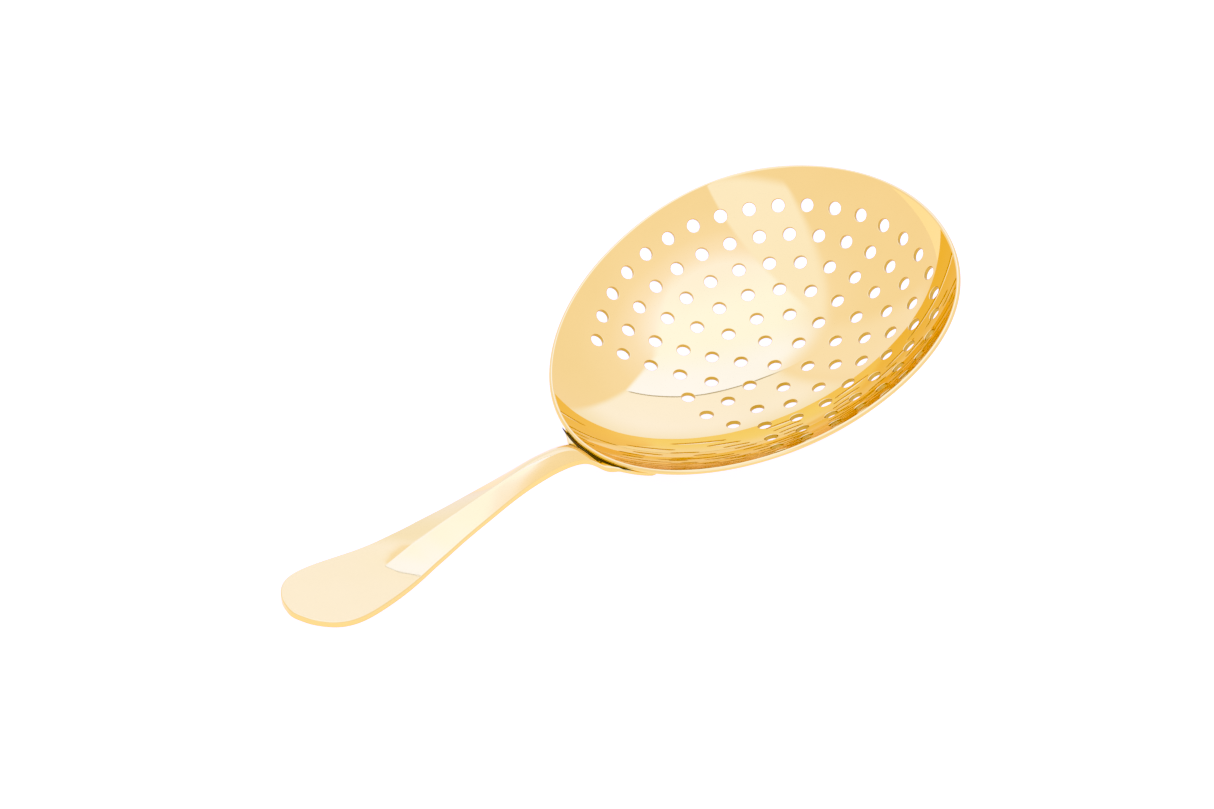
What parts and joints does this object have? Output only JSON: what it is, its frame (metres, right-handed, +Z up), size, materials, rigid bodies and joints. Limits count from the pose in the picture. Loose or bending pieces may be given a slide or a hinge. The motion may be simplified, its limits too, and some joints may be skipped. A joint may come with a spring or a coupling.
{
  "type": "julep strainer",
  "caption": "Bar strainer: a deep, pierced, egg-shaped bowl with a stamped spoon handle brazed under its rim, mirror-polished and gold-plated.",
  "frame": {"origin": "middle of the footprint's box, on the surface the strainer lies on", "axes": "+X from the handle's paddle to the tip of the bowl, +Y to the left seen from the handle, +Z up; the strainer lies on its paddle and the bottom of its bowl"},
  "size_m": [0.1656, 0.08, 0.0356],
  "materials": {
    "bowl_gold": "mirror-polished gold plate over stainless steel",
    "handle_gold": "mirror-polished gold plate over stainless steel",
    "braze_filler": "brazing filler, plated over, softly uneven"
  },
  "bodies": {
    "root": {"bowl": "bowl_gold", "handle": "handle_gold", "braze_bead": "braze_filler"}
  },
  "joints": []
}
